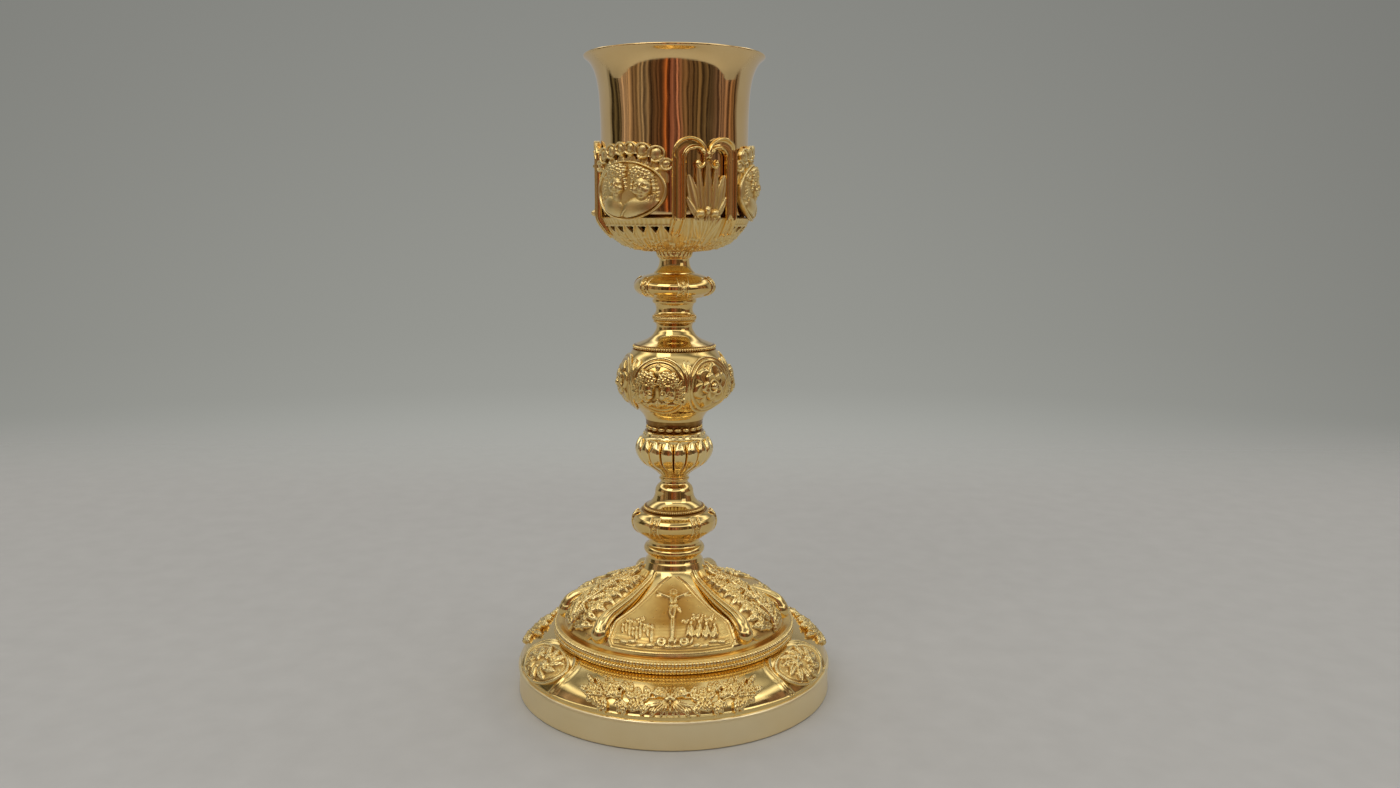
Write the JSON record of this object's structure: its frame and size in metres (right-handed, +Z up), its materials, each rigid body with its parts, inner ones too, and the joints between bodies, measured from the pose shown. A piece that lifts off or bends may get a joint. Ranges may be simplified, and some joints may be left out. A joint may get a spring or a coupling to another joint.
{
  "type": "communion chalice",
  "caption": "Tall gilt communion chalice: flared bowl that unscrews from an openwork calyx, a stem of hollow beads on a tie rod, and a domed round foot in relief.",
  "frame": {"origin": "centre of the foot's underside, on the surface it stands on", "axes": "+Z up along the stem's axis; -Y is the front, where the relief scene on the foot faces"},
  "size_m": [0.1528, 0.1528, 0.3001],
  "materials": {
    "polished_gilt": "gilt and burnished to a mirror, fine polishing lines",
    "relief_gilt": "gilt, chased relief with a matt granular ground and burnished high points",
    "plain_brass": "plain turned metal, ungilt, slightly dull"
  },
  "bodies": {
    "root": {"foot_band": "polished_gilt", "foot_skirt": "polished_gilt", "foot_dome": "polished_gilt", "base_collar": "polished_gilt", "lower_knop": "polished_gilt", "stem_bell": "polished_gilt", "stem_fillet": "polished_gilt", "vase_collar": "polished_gilt", "knop_cup": "polished_gilt", "knop": "polished_gilt", "knop_bell": "polished_gilt", "milled_collar": "polished_gilt", "upper_spool": "polished_gilt", "upper_knop": "polished_gilt", "stem_neck": "polished_gilt", "calyx_arches": "polished_gilt", "skirt_garlands": "relief_gilt", "skirt_medallions": "relief_gilt", "milled_ring": "relief_gilt", "scroll_ribs": "relief_gilt", "scene_panels": "relief_gilt", "foliage_panels": "relief_gilt", "lower_knop_clasps": "relief_gilt", "lower_bead_ring": "relief_gilt", "gadrooned_vase": "relief_gilt", "cherub_roundels": "relief_gilt", "rosette_roundels": "relief_gilt", "knop_bead_ring": "relief_gilt", "upper_knop_clasps": "relief_gilt", "neck_leaf_ring": "relief_gilt", "calyx_dish": "relief_gilt", "arch_leaves": "relief_gilt", "calyx_medallions": "relief_gilt", "medallion_shells": "relief_gilt", "dome_plate": "plain_brass", "foot_washer": "plain_brass", "foot_nut": "plain_brass", "tie_rod": "plain_brass", "rod_coupler": "plain_brass"},
    "bowl_seat": {"seat_washer": "plain_brass"},
    "bowl": {"bowl": "polished_gilt", "bowl_stud": "polished_gilt"}
  },
  "joints": [
    {"name": "bowl_rise", "type": "slide", "parent": "root", "child": "bowl_seat", "axis": [0, 0, 1], "range_m": [0, 0.0101]},
    {"name": "bowl_turn", "type": "hinge", "parent": "bowl_seat", "child": "bowl", "pos_m": [0, 0, 0.2136], "axis": [0, 0, 1], "range_deg": [0, 2880]}
  ],
  "couplings": [
    {"joint": "bowl_rise", "follows": "bowl_turn", "m_per_rad": 0.00019894}
  ]
}
